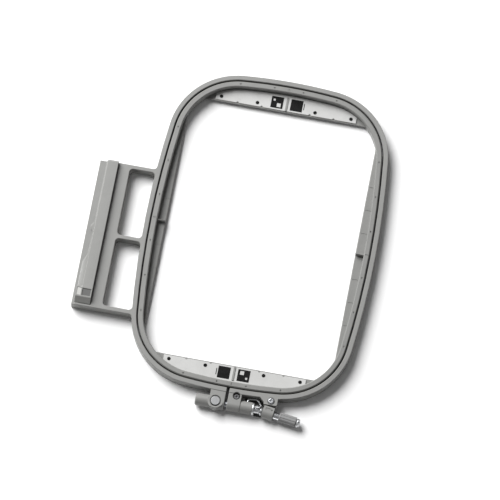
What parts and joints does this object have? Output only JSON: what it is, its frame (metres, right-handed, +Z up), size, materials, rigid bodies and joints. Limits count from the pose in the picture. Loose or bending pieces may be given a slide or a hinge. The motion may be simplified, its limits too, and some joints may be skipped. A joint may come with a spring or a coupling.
{
  "type": "embroidery hoop",
  "caption": "Flat rounded-rectangle hoop: split outer ring with side bracket and screw clamp, lift-out inner frame with marker plates.",
  "frame": {"origin": "centre of the sewing field, on the plane the hoop lies on", "axes": "+Y along the hoop's long side, away from the clamp; +X away from the machine bracket; +Z up, towards the needle"},
  "size_m": [0.2359, 0.2879, 0.0148],
  "materials": {
    "frame_plastic": "fine satin moulded finish",
    "inner_plastic": "fine satin moulded finish",
    "bar_plastic": "fine satin moulded finish",
    "knob_plastic": "satin, grooved",
    "plate_white": "smooth satin white",
    "marker_black": "matt printed black",
    "dark_plastic": "matt",
    "light_plastic": "satin",
    "bright_steel": "turned, plated",
    "screw_steel": "zinc plated",
    "dark_steel": "black oxide",
    "spring_steel": "drawn wire, bright",
    "chrome": "polished"
  },
  "bodies": {
    "outer_frame": {"outer_ring": "frame_plastic", "connector_bar": "bar_plastic", "bar_screws": "screw_steel", "code_insert": "dark_plastic", "code_pad": "light_plastic", "swivel_nut": "bright_steel", "nut_clip": "spring_steel", "rod_cap": "frame_plastic", "thrust_sleeve": "frame_plastic", "thrust_ring": "bright_steel", "thrust_washer": "bright_steel", "sleeve_screw": "dark_steel", "click_spring": "spring_steel", "joint_tray": "dark_plastic", "bearing_block": "frame_plastic", "block_bush": "dark_plastic", "block_screw": "screw_steel"},
    "clamp_screw": {"clamp_screw": "screw_steel", "screw_cup": "bright_steel"},
    "knob": {"knob_shaft": "chrome", "shaft_clip": "spring_steel", "drive_pin": "screw_steel", "knob": "knob_plastic", "knob_screw": "bright_steel"},
    "inner_frame": {"inner_ring": "inner_plastic", "marker_plate_top": "plate_white", "marker_plate_bottom": "plate_white", "markers_top": "marker_black", "markers_bottom": "marker_black"}
  },
  "joints": [
    {"name": "knob_spin", "type": "hinge", "parent": "outer_frame", "child": "knob", "pos_m": [0.023, -0.1438, 0.0053], "axis": [0.9903, -0.1392, 0], "continuous": true},
    {"name": "clamp_screw_spin", "type": "hinge", "parent": "outer_frame", "child": "clamp_screw", "pos_m": [0, -0.1438, 0.0053], "axis": [1, 0, 0], "continuous": true},
    {"name": "inner_frame_lift", "type": "slide", "parent": "outer_frame", "child": "inner_frame", "axis": [0, 0, 1], "range_m": [0, 0.03]}
  ],
  "couplings": [
    {"joint": "clamp_screw_spin", "follows": "knob_spin", "ratio": 1}
  ]
}
